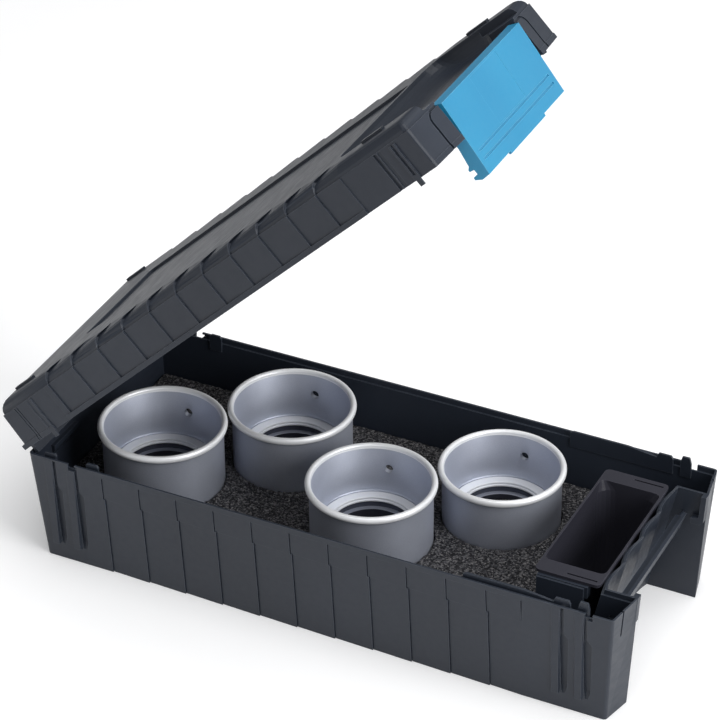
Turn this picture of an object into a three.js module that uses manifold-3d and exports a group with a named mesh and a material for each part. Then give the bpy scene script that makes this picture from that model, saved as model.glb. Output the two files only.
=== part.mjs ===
// Drive-punch kit: a long moulded case with a hinged lid and a snap latch.
// A foam bed in the base carries four cup-shaped ring punches, and a lift-out
// tray for small parts stands beside the finger recess at the latch end.
//
// Units are millimetres, +Z is up and +X points from the hinge to the latch.
// The origin is the middle of the base's underside.

import * as THREE from 'three';
import { mergeVertices } from 'three/addons/utils/BufferGeometryUtils.js';
import Module from 'manifold-3d';

const wasm = await Module();
wasm.setup();

// ---------------------------------------------------------------- dimensions

// Base of the case
const caseLength = 384;
const caseWidth = 164;
const baseHeight = 78.3;
const wall = 2.4;
const floorThickness = 2.6;
const endDraft = 4.6;
const sideDraft = 6.6;
const endBulge = 4.2;
const rimLip = 1.3;
const baseCorner = 2.4;
const rimLipHeight = 3.4;

// Finger recess, side columns and catch bar at the latch end, sized to the latch
const latchHalfWidth = 51;
const recessSideGap = 4;
const recessHalfWidth = latchHalfWidth + recessSideGap;
const recessInsetTop = 15;
const recessInsetBottom = 32;
const fingerCount = 4;
const fingerDepth = 2.6;
const fingerDip = 3;
const fingerDipRadius = 32;
const guideGap = 0.4;
const guideDepth = recessSideGap - guideGap;
const guideLength = 3.2;
const guideHookLength = 8;
const guideHookHeight = 4;
const guideChamfer = 2.5;
const guideHeight = 21;
const barInset = 6.5;
const barTop = 66;
const barHeight = 12;
const barThickness = 2;
const barLean = 4;
const barEndGap = 2.5;
const barHalfLength = latchHalfWidth - barEndGap;
const barPegRadius = 1.1;
const barPegInset = 4.8;
const barPegHeight = 60.9;
const barBlockHalf = 2;

// Shingled panels on the long sides of base and lid
const panelPitch = 25.4;
const firstPanel = 51.3;
const panelCount = 10;
const lastPanelWidth = 21;
const panelStep = 0.8;
const panelKinkHeight = 58;
const panelKinkShift = 1.1;
const panelKinkStep = 0.5;
const panelTopMargin = 4;
const panelLineWidth = 0.7;
const panelLineDepth = 0.8;
const endLineWidth = 0.8;
const endLineDepth = 1.6;
const endLineHeight = 18;
const columnSlotPlace = 12;
const columnSlotWidth = 1.6;
const columnSlotDepth = 1.2;
const columnSlotHeight = 18;

// Deep grooves, rim tabs, rim tongues and rim notches near each end
const grooveWidth = 5;
const grooveLineWidth = 2.2;
const grooveDepth = 1.9;
const grooveLineDepth = 1.3;
const grooveBottom = 12;
const grooveTaper = 6;
const grooveLean = 0.4;
const grooveRibGap = 0.6;
const grooveTopMargin = 1;
const groovePlaces = [16.5, 31.5, 351, 365.5];
const grooveRibWidth = 6;
const grooveRibHeight = 2;
const tabs = [
  { place: 14, width: 6, height: 2.6 },
  { place: 43, width: 6, height: 2.6 },
  { place: 351, width: 8, height: 3.4 },
  { place: 364.5, width: 4.6, height: 5.4 },
];
const tabSlope = 1.2;
const tabThickness = 1.3;
const tabRoot = 9;
const tongueSpan = [289, 347];
const tongueLevel = 327;
const tongueHeight = 2.4;
const pegPlaces = [29.7, 368.7];
const pegWidth = 3.2;
const pegDrop = 4;
const pegThickness = 1;
const pegNotchGap = 0.7;

// Hinge
const hingeOut = 1.94;
const hingeDown = 2.22;
const knuckleRadius = 3.6;
const hingePinRadius = 1.5;
const knuckleLength = 8;
const hingeSpread = 46;
const lidOpenAngle = 44.3;
const hingeBossTop = 71.5;
const hingeBossDepth = 3;
const hingeBossSlope = 8;
const hingeBossHalf = 14.4;
const hingeWebDrop = 6;
const hingeCutGap = 0.5;

// Lid
const rimGap = 0.5;
const flangeHeight = 3.1;
const flangeStep = 0.4;
const creaseHeight = 24.8;
const creaseStep = 0.8;
const coveWidth = 6.3;
const coveHeight = 6.7;
const coveSteps = 5;
const fieldDepth = 1.8;
const fieldStart = 61.5;
const fieldEnd = 311;
const fieldHalfWidth = 41;
const fieldCorner = 4;
const lidHingeInset = 3.2;
const lidFlangeInset = 0.5;
const lidWall = 2.4;
const lidCorner = 3.4;
const hingeFlapDrop = 6;
const hingeFlapMargin = 3.4;
const coveStep = 1.5;
const coveLean = 2.3;
const slitLean = 11;
const slitReach = 7;
const faceShare = 0.55;
const coveShare = 0.6;
const palmStart = 315;
const palmEnd = 367;
const latchSideGap = 1.7;
const columnGap = latchHalfWidth + latchSideGap;
const palmOverhang = 9.3;
const palmHalfWidth = columnGap + palmOverhang;
const palmFloor = 20.5;
const palmSweep = 24;
const palmSideSweep = 6;
const palmCorner = 11;
const columnTop = 26.5;
const endSetBack = 0.6;
const latchBayInset = 8.5;
const columnGrooveInset = 9.9;
const columnGroovePlace = columnGap + columnGrooveInset;
const columnGrooveWidth = 1.6;
const columnGrooveDepth = 1.4;
const columnGrooveCorner = 5;
const lidGrooves = [
  { span: [16, 16.7], depth: 0.9 },
  { span: [18, 18.7], depth: 0.9 },
  { span: [32.5, 47], depth: 0.5 },
  { span: [353.8, 356.2], depth: 0.9 },
  { span: [357, 359.8], depth: 0.5 },
];
const lidGrooveMargin = 0.4;
const ridgeMargin = 1.5;
const ridgeInner = 1;
const ridgeOuter = 2.3;
const ridgeShy = 0.1;
const lugLength = 17;
const lugWidth = 3;
const lugHeight = 1.6;
const lugPlaces = [24.5, 353];
const lugSpread = (palmHalfWidth + caseWidth / 2 - flangeStep - creaseStep - coveWidth) / 2;

// Latch
const latchSkin = 2.2;
const latchTop = 22.7;
const latchBottom = -23.8;
const latchFaceTop = 5.5;
const latchFaceBottom = 0.5;
const latchTopDepth = 6.6;
const latchTopRise = 2.1;
const latchFlange = 2;
const latchPivotUp = 19.6;
const latchPivotIn = 0.4;
const latchPinRadius = 2;
const latchPinLength = 9;
const latchBossRadius = 4.2;
const latchGrooveUps = [-10.6, -15.8];
const latchGrooveDepth = 0.7;
const latchGrooveWidth = 1;
const latchGrooveMargin = 4;
const latchTabHalfWidth = 23;
const latchTabDrop = 1.6;
const latchFieldHalfWidth = 17;
const latchFieldDepth = 0.18;
const latchFieldSpan = [-9, 21.5];

// Foam, tray, punches
const foamTop = 43.2;
const foamEnd = 319;
const pocketDepth = 6;
const foamSideGap = 0.8;
const trayStart = 323;
const trayWall = 1.2;
const trayHalfOpening = 43.4;
const trayFlange = 2;
const trayFlangeCorner = 3;
const trayDrop = 0.2;
const trayFloorHeight = 9;
const trayTaper = 1.6;
const trayCornerTop = 3;
const trayCornerInner = 9;
const trayCornerBottom = 10;
const trayLipHeight = 6;
const traySlotStart = 19;
const traySlotOut = 7;
const traySlotLength = 19;
const traySlotWidth = 1.4;
const trayLedgeWidth = 4;
const trayLedgeHeight = 8;
const trayLedgeSetBack = 12;
const lidPadThickness = 12;
const lidPadMargin = 14;
const lidPadCorner = 10;

const punches = [
  { name: 'punch_front_left', u: 61.5, v: 57.4, radius: 40, rim: 84.4, turn: 92 },
  { name: 'punch_back_left', u: 123.4, v: 110.6, radius: 40, rim: 83.0, turn: 93 },
  { name: 'punch_front_right', u: 203.8, v: 57.3, radius: 40, rim: 84.3, turn: 98 },
  { name: 'punch_back_right', u: 265.1, v: 111.9, radius: 39, rim: 79.0, turn: 90 },
];
const punchRimWidth = 3;
const punchGroove = 0.4;
const punchMouthWidth = 3.8;
const punchShelfDrop = 31.5;
const punchShelfRadius = 32;
const punchBoreRadius = 25.6;
const punchFoot = 2;
const punchHoleRadius = 2.7;
const punchHoleDrop = 15.6;
const hubBoreRadius = 24.6;
const hubThickness = 3;
const hubStep = 0.8;

// Clearances
const fit = 0.3;
const hingeSideGap = 0.35;
const pocketGap = 0.4;
const over = 1;

// ------------------------------------------------------------------- helpers

const degrees = Math.PI / 180;
const roundSteps = 32;

// Distances measured from the hinge end and from the front side
const alongX = (u) => u - caseLength / 2;
const acrossY = (v) => v - caseWidth / 2;

function toSolid(geometry) {
  const bare = geometry.index ? geometry.clone() : geometry;
  bare.deleteAttribute('normal');
  bare.deleteAttribute('uv');
  const merged = mergeVertices(bare, 1e-5);
  return new wasm.Manifold(new wasm.Mesh({
    numProp: 3,
    vertProperties: new Float32Array(merged.attributes.position.array),
    triVerts: new Uint32Array(merged.index.array),
  }));
}

function toGeometry(solid) {
  const mesh = solid.getMesh();
  const geometry = new THREE.BufferGeometry();
  geometry.setAttribute('position', new THREE.BufferAttribute(mesh.vertProperties, 3));
  geometry.setIndex(new THREE.BufferAttribute(mesh.triVerts, 1));
  geometry.computeVertexNormals();
  return geometry;
}

// A solid through a stack of matching outlines, each { z, points: [[x, y], ...] }
function loft(levels) {
  const count = levels[0].points.length;
  const positions = levels.flatMap(({ z, points }) => points.flatMap(([x, y]) => [x, y, z]));
  const caps = [levels[0], levels[levels.length - 1]].map(({ points }) => (
    THREE.ShapeUtils.triangulateShape(points.map(([x, y]) => new THREE.Vector2(x, y)), [])
  ));
  const index = caps[0].flatMap(([a, b, c]) => [a, c, b]);
  const last = (levels.length - 1) * count;
  caps[1].forEach((triangle) => index.push(...triangle.map((corner) => corner + last)));
  for (let level = 0; level < levels.length - 1; level += 1) {
    for (let side = 0; side < count; side += 1) {
      const a = level * count + side;
      const b = level * count + (side + 1) % count;
      index.push(a, b, b + count, a, b + count, a + count);
    }
  }
  const geometry = new THREE.BufferGeometry();
  geometry.setAttribute('position', new THREE.Float32BufferAttribute(positions, 3));
  geometry.setIndex(index);
  return toSolid(geometry);
}

const straight = (points, low, high) => loft([{ z: low, points }, { z: high, points }]);

function box(x0, x1, y0, y1, z0, z1) {
  const geometry = new THREE.BoxGeometry(x1 - x0, y1 - y0, z1 - z0);
  geometry.translate((x0 + x1) / 2, (y0 + y1) / 2, (z0 + z1) / 2);
  return toSolid(geometry);
}

// A side-view outline in X and Z, given anticlockwise, carried from y0 to y1
function slab(points, y0, y1) {
  const geometry = new THREE.ExtrudeGeometry(
    new THREE.Shape(points.map(([x, z]) => new THREE.Vector2(x, z))),
    { depth: y1 - y0, bevelEnabled: false },
  );
  geometry.rotateX(Math.PI / 2);
  geometry.translate(0, y1, 0);
  return toSolid(geometry);
}

// A round bar along Y
function bar(radius, x, z, y0, y1, steps = 20) {
  const geometry = new THREE.CylinderGeometry(radius, radius, y1 - y0, steps);
  geometry.translate(x, (y0 + y1) / 2, z);
  return toSolid(geometry);
}

// A turned piece about Z, from a profile of [radius, z] that closes on itself
function turned(profile, steps = roundSteps) {
  const points = [...profile, profile[0]].map(([r, z]) => new THREE.Vector2(r, z));
  const geometry = new THREE.LatheGeometry(points, steps);
  geometry.rotateX(Math.PI / 2);
  return toSolid(geometry);
}

const join = (...solids) => solids.reduce((whole, piece) => whole.add(piece));
const cut = (solid, ...tools) => tools.reduce((rest, tool) => rest.subtract(tool), solid);
const bothSides = (make) => [make(-1), make(1)];
const mirrored = (side, a, b) => (side > 0 ? [a, b] : [-b, -a]);

function sideBox(side, x0, x1, inner, outer, z0, z1) {
  const [y0, y1] = mirrored(side, inner, outer);
  return box(x0, x1, y0, y1, z0, z1);
}

// A quarter turn about a centre, anticlockwise from a starting angle
function corner(cx, cy, radius, start, steps = 4) {
  return Array.from({ length: steps + 1 }, (_, i) => {
    const angle = (start + (90 * i) / steps) * degrees;
    return [cx + radius * Math.cos(angle), cy + radius * Math.sin(angle)];
  });
}

function roundedRectangle(x0, x1, y0, y1, radius, steps = 5) {
  const corners = [[x1, y0, -90], [x1, y1, 0], [x0, y1, 90], [x0, y0, 180]];
  return corners.flatMap(([x, y, start]) => corner(
    x + (x === x1 ? -radius : radius), y + (y === y1 ? -radius : radius), radius, start, steps,
  ));
}

// ---------------------------------------------------------------- base shell

const panelEdges = Array.from({ length: panelCount + 1 }, (_, i) => firstPanel + i * panelPitch);
const panelSpans = panelEdges.map((edge, i) => (
  [edge, i < panelCount ? edge + panelPitch : edge + lastPanelWidth]
));

const panelsEnd = panelSpans[panelCount][1];

// How far the drafted walls stand in at a height
const endInset = (z) => endDraft * (1 - z / baseHeight);
const sideInset = (z) => sideDraft * (1 - z / baseHeight);
const recessX = (z) => (
  caseLength / 2 - recessInsetBottom + (recessInsetBottom - recessInsetTop) * (z / baseHeight)
);

// The finger wall's scalloped line, across the recess from front to back
function fingerLine(x) {
  const steps = 5;
  const width = (2 * recessHalfWidth) / fingerCount;
  const line = [];
  for (let i = 0; i <= fingerCount * steps; i += 1) {
    const y = -recessHalfWidth + (i * width) / steps;
    line.push([x - fingerDepth * Math.abs(Math.sin((Math.PI * i) / steps)), y]);
  }
  return line;
}

// The base's outline at a height, with all walls moved in by an inset
function baseOutline(z, inset) {
  const hingeX = -caseLength / 2 + endInset(z) + inset;
  const endX = caseLength / 2 - endInset(z) - inset;
  const y = caseWidth / 2 - sideInset(z) - inset;
  const inner = recessHalfWidth + inset;
  const scallops = fingerLine(recessX(z) - inset);
  scallops[0][1] = -inner;
  scallops[scallops.length - 1][1] = inner;
  const radius = Math.max(fit, baseCorner - inset);
  return [
    ...corner(hingeX + radius, -y + radius, radius, 180),
    ...corner(endX - radius, -y + radius, radius, 270),
    [endX + endBulge, -inner],
    ...scallops,
    [endX + endBulge, inner],
    ...corner(endX - radius, y - radius, radius, 0),
    ...corner(hingeX + radius, y - radius, radius, 90),
  ];
}

// A cut into a side wall through levels of { z, span, depth, far }: a span from the
// hinge end, the depth at its near edge, and at its far edge, where it may run out
function wedgeCut(side, levels) {
  return loft(levels.map(({ z, span: [start, end], depth, far = 0 }) => {
    const face = caseWidth / 2 - sideInset(z);
    const points = [
      [alongX(start), face - depth], [alongX(end), face - far],
      [alongX(end), face + over], [alongX(start), face + over],
    ].map(([x, y]) => [x, side * y]);
    return { z, points: side > 0 ? points : points.reverse() };
  }));
}

// Each panel is set back at its hinge-side edge, where a fine line is cut deeper
function basePanels() {
  const panelTop = baseHeight - panelTopMargin;
  const cuts = (side, [start, end], low, high, step) => {
    const line = [start, start + panelLineWidth];
    return [
      wedgeCut(side, [{ z: low, span: [start, end], depth: step },
        { z: high, span: [start, end], depth: step }]),
      wedgeCut(side, [{ z: low, span: line, depth: step + panelLineDepth },
        { z: high, span: line, depth: step + panelLineDepth }]),
    ];
  };
  return bothSides((side) => panelSpans.flatMap(([start, end]) => [
    ...cuts(side, [start, end], -over, panelKinkHeight, panelStep),
    ...cuts(side, [start - panelKinkShift, end - panelKinkShift], panelKinkHeight, panelTop,
      panelKinkStep),
  ])).flat();
}

// A fine line near the rim that opens into a deep tapering groove below
function baseGroove(side, place) {
  const line = [place, place + grooveLineWidth];
  const open = [place - grooveLean, place + grooveWidth];
  const point = [place + grooveLean, place + grooveWidth / 2];
  return [
    wedgeCut(side, [
      { z: grooveBottom, span: point, depth: grooveDepth / 4 },
      {
        z: grooveBottom + grooveTaper,
        span: [place, place + 0.8 * grooveWidth],
        depth: grooveDepth,
        far: grooveDepth,
      },
      { z: panelKinkHeight - grooveTaper / 2, span: open, depth: grooveDepth, far: grooveDepth },
      { z: panelKinkHeight, span: line, depth: grooveLineDepth, far: grooveLineDepth },
    ]),
    wedgeCut(side, [
      { z: panelKinkHeight - 0.1, span: line, depth: grooveLineDepth, far: grooveLineDepth },
      {
        z: baseHeight - grooveTopMargin,
        span: line,
        depth: grooveLineDepth,
        far: grooveLineDepth,
      },
    ]),
  ];
}

// An upright rib on the hinge side of a groove
function baseRib(side, place) {
  const half = grooveRibWidth / 2;
  const x = alongX(place - half - grooveRibGap);
  return loft([grooveBottom, baseHeight - grooveTopMargin].map((z) => {
    const face = caseWidth / 2 - sideInset(z);
    const crest = face + Math.min(grooveRibHeight, sideInset(z));
    const points = [
      [x - half, face - fit], [x + half, face - fit], [x + half, face],
      [x + 0.8 * half, crest], [x - 0.6 * half, crest], [x - half, face],
    ].map(([px, py]) => [px, side * py]);
    return { z, points: side > 0 ? points : points.reverse() };
  }));
}

const hingeX = -caseLength / 2 - hingeOut;
const hingeZ = baseHeight - hingeDown;
const hingeCentres = [-hingeSpread, hingeSpread];

// Each hinge has one base knuckle between two lid knuckles
const baseKnuckle = (y) => [y - knuckleLength / 2, y + knuckleLength / 2];
const lidKnuckles = (y) => {
  const near = knuckleLength / 2 + hingeSideGap;
  return [[y - near - knuckleLength, y - near], [y + near, y + near + knuckleLength]];
};

function baseKnuckles() {
  return hingeCentres.map((y) => {
    const [y0, y1] = baseKnuckle(y);
    const web = slab([
      [hingeX, hingeZ - knuckleRadius - hingeWebDrop],
      [hingeX + hingeOut + wall, hingeZ - knuckleRadius - 2 * hingeWebDrop],
      [hingeX + hingeOut + wall, hingeZ], [hingeX - knuckleRadius * 0.8, hingeZ - knuckleRadius * 0.6],
    ], y0, y1);
    return join(bar(knuckleRadius, hingeX, hingeZ, y0, y1), web);
  });
}

// The outer face of the tabs and tongues that stand inside the side walls
const tabFace = caseWidth / 2 - wall - fit;

// Where the latch's prongs catch the bar's end pegs
const barX = caseLength / 2 - barInset;
const barPegX = barX - barPegInset;
const barPegZ = barPegHeight;

function makeBase() {
  const outer = loft([
    { z: 0, points: baseOutline(0, 0) },
    { z: baseHeight, points: baseOutline(baseHeight, 0) },
  ]);
  const cavity = loft([
    { z: floorThickness, points: baseOutline(floorThickness, wall) },
    { z: baseHeight + over, points: baseOutline(baseHeight + over, wall) },
  ]);
  const rimStep = loft([
    { z: baseHeight - rimLipHeight, points: baseOutline(baseHeight - rimLipHeight, rimLip) },
    { z: baseHeight + over, points: baseOutline(baseHeight + over, rimLip) },
  ]);
  let shell = cut(outer, cavity, rimStep);

  // Bosses that back the hinge, and the walls and ledges that carry the tray
  const bayStart = alongX(trayStart) + wall;
  const trayLedge = baseHeight - trayDrop - trayFlange - fit;
  const bayEnd = recessX(floorThickness) - wall;
  shell = join(
    shell,
    ...hingeCentres.map((y) => slab([
      [-caseLength / 2 + wall / 2, hingeZ - 2 * hingeBossSlope],
      [-caseLength / 2 + wall + hingeBossDepth, hingeZ - hingeBossSlope],
      [-caseLength / 2 + wall + hingeBossDepth, hingeBossTop],
      [-caseLength / 2 + wall / 2, hingeBossTop],
    ], y - hingeBossHalf, y + hingeBossHalf)),
    ...bothSides((side) => sideBox(
      side, bayStart, bayEnd + wall * 2, recessHalfWidth, recessHalfWidth + wall,
      floorThickness - fit, baseHeight - rimLipHeight,
    )),
    ...bothSides((side) => sideBox(
      side, bayStart, alongX(caseLength - recessInsetTop) - trayLedgeSetBack,
      recessHalfWidth - trayLedgeWidth, recessHalfWidth + wall / 2,
      trayLedge - trayLedgeHeight, trayLedge,
    )),
  );

  // Guides beside the latch, at the top of each column
  const guideEnd = (z) => caseLength / 2 - endInset(z) + endBulge;
  const guideLow = baseHeight - guideHeight;
  shell = join(shell, ...bothSides((side) => slab([
    [guideEnd(guideLow) - guideHookLength, guideLow], [guideEnd(guideLow) - guideChamfer, guideLow],
    [guideEnd(guideLow), guideLow + guideChamfer], [guideEnd(baseHeight), baseHeight],
    [guideEnd(baseHeight) - guideLength, baseHeight],
    [guideEnd(guideLow) - guideLength, guideLow + 1.25 * guideHookHeight],
    [guideEnd(guideLow) - guideHookLength, guideLow + guideHookHeight],
  ], ...mirrored(side, recessHalfWidth - guideDepth, recessHalfWidth + wall / 2))));

  const scallop = (2 * recessHalfWidth) / fingerCount;
  const fingers = Array.from({ length: fingerCount }, (_, i) => (
    -recessHalfWidth + (i + 0.5) * scallop
  ));
  shell = join(shell, ...bothSides((side) => groovePlaces.map((place) => baseRib(side, place))).flat());
  shell = cut(
    shell,
    ...basePanels(),
    ...bothSides((side) => groovePlaces.flatMap((place) => baseGroove(side, place))).flat(),
    // The finger wall's top dips between its ridges
    ...fingers.map((y) => {
      const dip = new THREE.CylinderGeometry(fingerDipRadius, fingerDipRadius, 3 * wall, 96);
      dip.rotateZ(Math.PI / 2);
      dip.translate(recessX(baseHeight) - wall, y, baseHeight - fingerDip + fingerDipRadius);
      return toSolid(dip);
    }),
    ...bothSides((side) => pegPlaces.map((place) => sideBox(
      side, alongX(place) - pegWidth / 2 - pegNotchGap, alongX(place) + pegWidth / 2 + pegNotchGap,
      caseWidth / 2 - pegThickness - pegNotchGap, caseWidth / 2 + over,
      baseHeight - pegDrop - pegNotchGap, baseHeight + over,
    ))).flat(),
    // Short groove that ends the run of panels
    ...bothSides((side) => sideBox(
      side, alongX(panelsEnd), alongX(panelsEnd) + endLineWidth,
      caseWidth / 2 - endLineDepth, caseWidth / 2 + over,
      baseHeight - panelTopMargin - endLineHeight, baseHeight - panelTopMargin,
    )),
    // Upright slot in each column's end face
    ...bothSides((side) => sideBox(
      side, caseLength / 2 - columnSlotDepth, caseLength / 2 + endBulge + over,
      caseWidth / 2 - columnSlotPlace, caseWidth / 2 - columnSlotPlace + columnSlotWidth,
      baseHeight - columnSlotHeight, baseHeight + over,
    )),
    // Sockets for the catch bar's pegs
    bar(barPegRadius + fit, barPegX, barPegZ, -recessHalfWidth - wall - over,
      recessHalfWidth + wall + over, 12),
    // Room for the lid's knuckles
    ...hingeCentres.flatMap(lidKnuckles).map(([y0, y1]) => (
      bar(knuckleRadius + hingeCutGap, hingeX, hingeZ, y0 - hingeSideGap, y1 + hingeSideGap)
    )),
  );

  shell = join(
    shell,
    ...baseKnuckles(),
    ...bothSides((side) => tabs.map(({ place, width, height }) => slab([
      [alongX(place) - width / 2 - tabSlope, baseHeight - tabRoot],
      [alongX(place) + width / 2 + tabSlope, baseHeight - tabRoot],
      [alongX(place) + width / 2 + tabSlope, baseHeight + tabSlope],
      [alongX(place) + width / 2, baseHeight + height],
      [alongX(place) - width / 2, baseHeight + height],
      [alongX(place) - width / 2 - tabSlope, baseHeight + tabSlope],
    ], ...mirrored(side, tabFace - tabThickness, tabFace)))).flat(),
    ...bothSides((side) => slab([
      [alongX(tongueSpan[0]), baseHeight - tabRoot], [alongX(tongueSpan[1]), baseHeight - tabRoot],
      [alongX(tongueSpan[1]), baseHeight], [alongX(tongueLevel), baseHeight + tongueHeight],
      [alongX(tongueSpan[0]) + 2, baseHeight + tongueHeight],
      [alongX(tongueSpan[0]), baseHeight + tongueHeight - 1],
    ], ...mirrored(side, tabFace - tabThickness, tabFace))),
  );
  return cut(shell, ...hingeCentres.map((y) => {
    const reach = 1.6 * knuckleLength;
    return bar(hingePinRadius + fit, hingeX, hingeZ, y - reach, y + reach);
  }));
}

// The bar that the latch snaps onto, with a peg at each end
function makeCatchBar() {
  const low = barTop - barHeight;
  const body = slab([
    [barX - barLean - barThickness, low], [barX - barLean, low],
    [barX, barTop], [barX - barThickness, barTop],
  ], -barHalfLength, barHalfLength);
  const reach = recessHalfWidth + wall - fit;
  const block = slab([
    [barPegX - barBlockHalf, barPegZ - barBlockHalf], [barPegX + barBlockHalf, barPegZ - barBlockHalf],
    [barPegX + barBlockHalf, barPegZ + barBlockHalf], [barPegX - barBlockHalf, barPegZ + barBlockHalf],
  ], -barHalfLength, barHalfLength);
  return join(body, block, bar(barPegRadius, barPegX, barPegZ, -reach, reach, 12));
}

// ---------------------------------------------------------------- foam, tray

const punchHeight = (punch) => punch.rim - foamTop + pocketDepth - 0.3;

// A sheet of foam cut to the tapering inside of the base
function foamSheet(low, high) {
  return loft([low, high].map((z) => {
    const x0 = -caseLength / 2 + endInset(z) + wall + foamSideGap;
    const y = caseWidth / 2 - sideInset(z) - wall - foamSideGap;
    return { z, points: [[x0, -y], [alongX(foamEnd), -y], [alongX(foamEnd), y], [x0, y]] };
  }));
}

// The punches stand on the lower sheet, in round holes through the upper one
const makeFoamBase = () => foamSheet(floorThickness + fit, foamTop - pocketDepth);

function makeFoam() {
  const block = foamSheet(foamTop - pocketDepth + fit, foamTop);
  return cut(block, ...punches.map((punch) => {
    const radius = punch.radius - punchRimWidth + punchGroove + pocketGap;
    const geometry = new THREE.CylinderGeometry(radius, radius, 4 * pocketDepth, roundSteps);
    geometry.rotateX(Math.PI / 2);
    geometry.translate(alongX(punch.u), acrossY(punch.v), foamTop);
    return toSolid(geometry);
  }));
}

function makeTray() {
  const top = baseHeight - trayDrop;
  const flangeEnd = alongX(caseLength - recessInsetTop) - fingerDepth - wall - fit;
  const bucket = (inset, low) => {
    const x0 = alongX(trayStart + trayWall) + inset;
    const x1 = flangeEnd - trayWall - inset;
    const y = trayHalfOpening - inset;
    const level = (z, radius) => {
      const taper = (trayTaper * (top - z)) / (top - trayFloorHeight);
      const endTaper = ((recessInsetBottom - recessInsetTop) * (top - z)) / baseHeight;
      return {
        z,
        points: roundedRectangle(x0 + taper, x1 - endTaper, -y + taper, y - taper, radius - inset),
      };
    };
    return [
      level(low, trayCornerBottom), level(top - trayLipHeight, trayCornerInner),
      level(top + (inset > 0 ? over : 0), trayCornerTop),
    ];
  };
  const flange = straight(
    roundedRectangle(
      alongX(trayStart), flangeEnd, -recessHalfWidth + pocketGap, recessHalfWidth - pocketGap,
      trayFlangeCorner, 3,
    ),
    top - trayFlange, top,
  );
  const body = join(loft(bucket(-trayWall, trayFloorHeight)), flange);
  const hollow = loft(bucket(0.001, trayFloorHeight + trayWall));
  const slots = bothSides((side) => sideBox(
    side, alongX(trayStart + traySlotStart), alongX(trayStart + traySlotStart + traySlotLength),
    trayHalfOpening + traySlotOut, trayHalfOpening + traySlotOut + traySlotWidth,
    top - trayFlange - over, top + over,
  ));
  return cut(body, hollow, ...slots);
}

// ------------------------------------------------------------------- punches

// Cup-shaped ring punch: a rounded rim, a conical inner wall and a shelf
function makePunch(punch) {
  const height = punchHeight(punch);
  const outer = punch.radius;
  const body = outer - punchRimWidth + punchGroove;
  const inner = outer - punchMouthWidth;
  const shelf = height - punchShelfDrop;
  const cup = turned([
    [body - punchFoot, 0],
    [body, punchFoot],
    [body, height - 6],
    [outer - 1, height - 5],
    [outer, height - 3.4],
    [outer, height - 1.6],
    [outer - 1, height - 0.3],
    [outer - 1.8, height],
    [inner + 0.3, height - 0.3],
    [inner, height - 1.4],
    [punchShelfRadius, shelf + 0.01],
    [punchShelfRadius, shelf - hubThickness],
    [punchBoreRadius, shelf - hubThickness],
    [punchBoreRadius, 0],
  ]);
  const drill = new THREE.CylinderGeometry(punchHoleRadius, punchHoleRadius, 16, 14);
  drill.rotateZ(Math.PI / 2);
  drill.translate(outer - 2, 0, 0);
  drill.rotateZ(punch.turn * degrees);
  drill.translate(0, 0, height - punchHoleDrop);
  return cut(cup, toSolid(drill));
}

// Turned hub ring that rests on the punch's shelf
function makeHub(punch) {
  const low = punchHeight(punch) - punchShelfDrop - hubThickness + fit;
  const outer = punchShelfRadius - fit;
  return turned([
    [hubBoreRadius + hubStep, low],
    [outer, low],
    [outer, low + hubThickness - 0.5],
    [outer - 0.5, low + hubThickness],
    [hubBoreRadius + hubStep + 1, low + hubThickness],
    [hubBoreRadius + hubStep, low + hubThickness - 0.8],
    [hubBoreRadius + hubStep, low + hubThickness - 1.6],
    [hubBoreRadius, low + hubThickness - 1.6],
    [hubBoreRadius, low + 0.4],
  ]);
}

// ----------------------------------------------------------------------- lid

// The lid is described closed, with its rim at z = 0 and X as on the base
const lidTop = creaseHeight + coveHeight;

// The rounded shoulder between the crease and the top, as [inset, z] pairs
const shoulder = Array.from({ length: coveSteps + 1 }, (_, i) => {
  const angle = (90 * i) / coveSteps * degrees;
  return [
    creaseStep + flangeStep + coveWidth * (1 - Math.cos(angle)),
    creaseHeight + coveHeight * Math.sin(angle),
  ];
});

function lidOutline(inset, hingeInset, shrink) {
  const x0 = -caseLength / 2 + hingeInset + shrink;
  const x1 = caseLength / 2 - inset * 0.8 - shrink;
  const y = caseWidth / 2 - inset - shrink;
  const bay = caseLength / 2 - latchBayInset - shrink;
  const gap = columnGap + shrink;
  const radius = Math.max(fit, lidCorner - shrink);
  return [
    [x0, -y], ...corner(x1 - radius, -y + radius, radius, 270),
    [x1 + endBulge, -gap], [bay, -gap], [bay, gap], [x1 + endBulge, gap],
    ...corner(x1 - radius, y - radius, radius, 0), [x0, y],
  ];
}

// One shingle: the lid's cross-section set back at the hinge side of a panel,
// running out to nothing at its far edge. The section leans towards the latch
// as it rises, and ends in a slit across the edge of the top.
function lidPanelCut(side, [start, end]) {
  const section = (x, depth) => {
    const face = caseWidth / 2 - flangeStep;
    const back = face - depth * faceShare;
    const low = [[0, back, flangeHeight], [0, back, creaseHeight]];
    const high = shoulder.map(([inset, z], i) => [
      (coveLean * i) / coveSteps, caseWidth / 2 - inset - depth * coveShare,
      z - (depth * (z - creaseHeight)) / coveHeight,
    ]);
    const reach = caseWidth / 2 - coveWidth - (slitReach * depth) / coveStep;
    const far = [
      [slitLean, reach, lidTop + 0.02], [slitLean, reach, lidTop + 4],
      [0, caseWidth / 2 + over, lidTop + 4], [0, caseWidth / 2 + over, flangeHeight],
    ];
    return [...low, ...high, ...far].reverse().map(([lean, y, z]) => [x + lean, side * y, z]);
  };
  return sweep(section(alongX(start), coveStep), section(alongX(end), 0.004), side < 0);
}

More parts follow.
